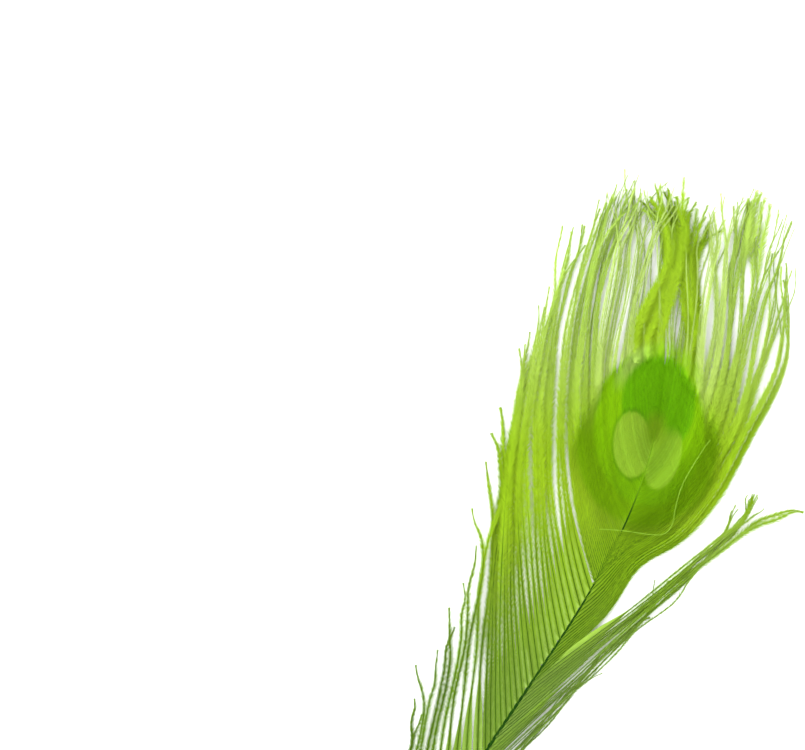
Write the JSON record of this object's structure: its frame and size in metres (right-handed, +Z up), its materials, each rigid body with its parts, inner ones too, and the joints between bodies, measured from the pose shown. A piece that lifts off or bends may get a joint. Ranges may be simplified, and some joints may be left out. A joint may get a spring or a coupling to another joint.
{
  "type": "dyed peacock feather",
  "caption": "Trimmed peacock eye feather dyed lime green, lying flat: thin shaft, heart-shaped eye, and long loose barbs that rise round it into a ragged crown.",
  "frame": {"origin": "centre of the footprint, on the surface the feather lies on", "axes": "+Y from the shaft's cut end to the crown, +Z up out of the face with the eye, +X to the feather's right seen from above"},
  "size_m": [0.0914, 0.248, 0.0058],
  "materials": {
    "dyed_barbs": "lime dye over natural barbs, dull to slightly silky"
  },
  "bodies": {
    "root": {"feather": "dyed_barbs"}
  },
  "joints": []
}
